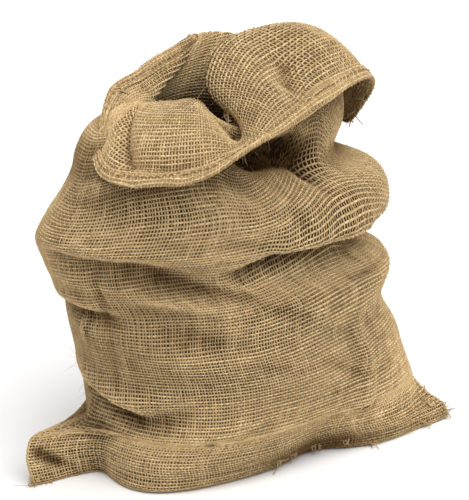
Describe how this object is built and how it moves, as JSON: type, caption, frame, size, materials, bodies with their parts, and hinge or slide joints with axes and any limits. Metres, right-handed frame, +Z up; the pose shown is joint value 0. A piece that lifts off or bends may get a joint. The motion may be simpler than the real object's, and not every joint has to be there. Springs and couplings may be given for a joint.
{
  "type": "burlap sack",
  "caption": "Small open-weave jute sack standing open on its flat base, its mouth folded outwards into an uneven cuff with a stitched hem.",
  "frame": {"origin": "centre of the bounding box's bottom face, on the floor under the sack", "axes": "+Z up, +X towards the sack's right bottom corner as seen from the front, -Y towards the front"},
  "size_m": [0.3524, 0.1985, 0.3313],
  "materials": {
    "jute": "matt, natural golden brown, open plain weave with dark gaps between the yarns"
  },
  "bodies": {
    "root": {"sack_cloth": "jute"}
  },
  "joints": []
}
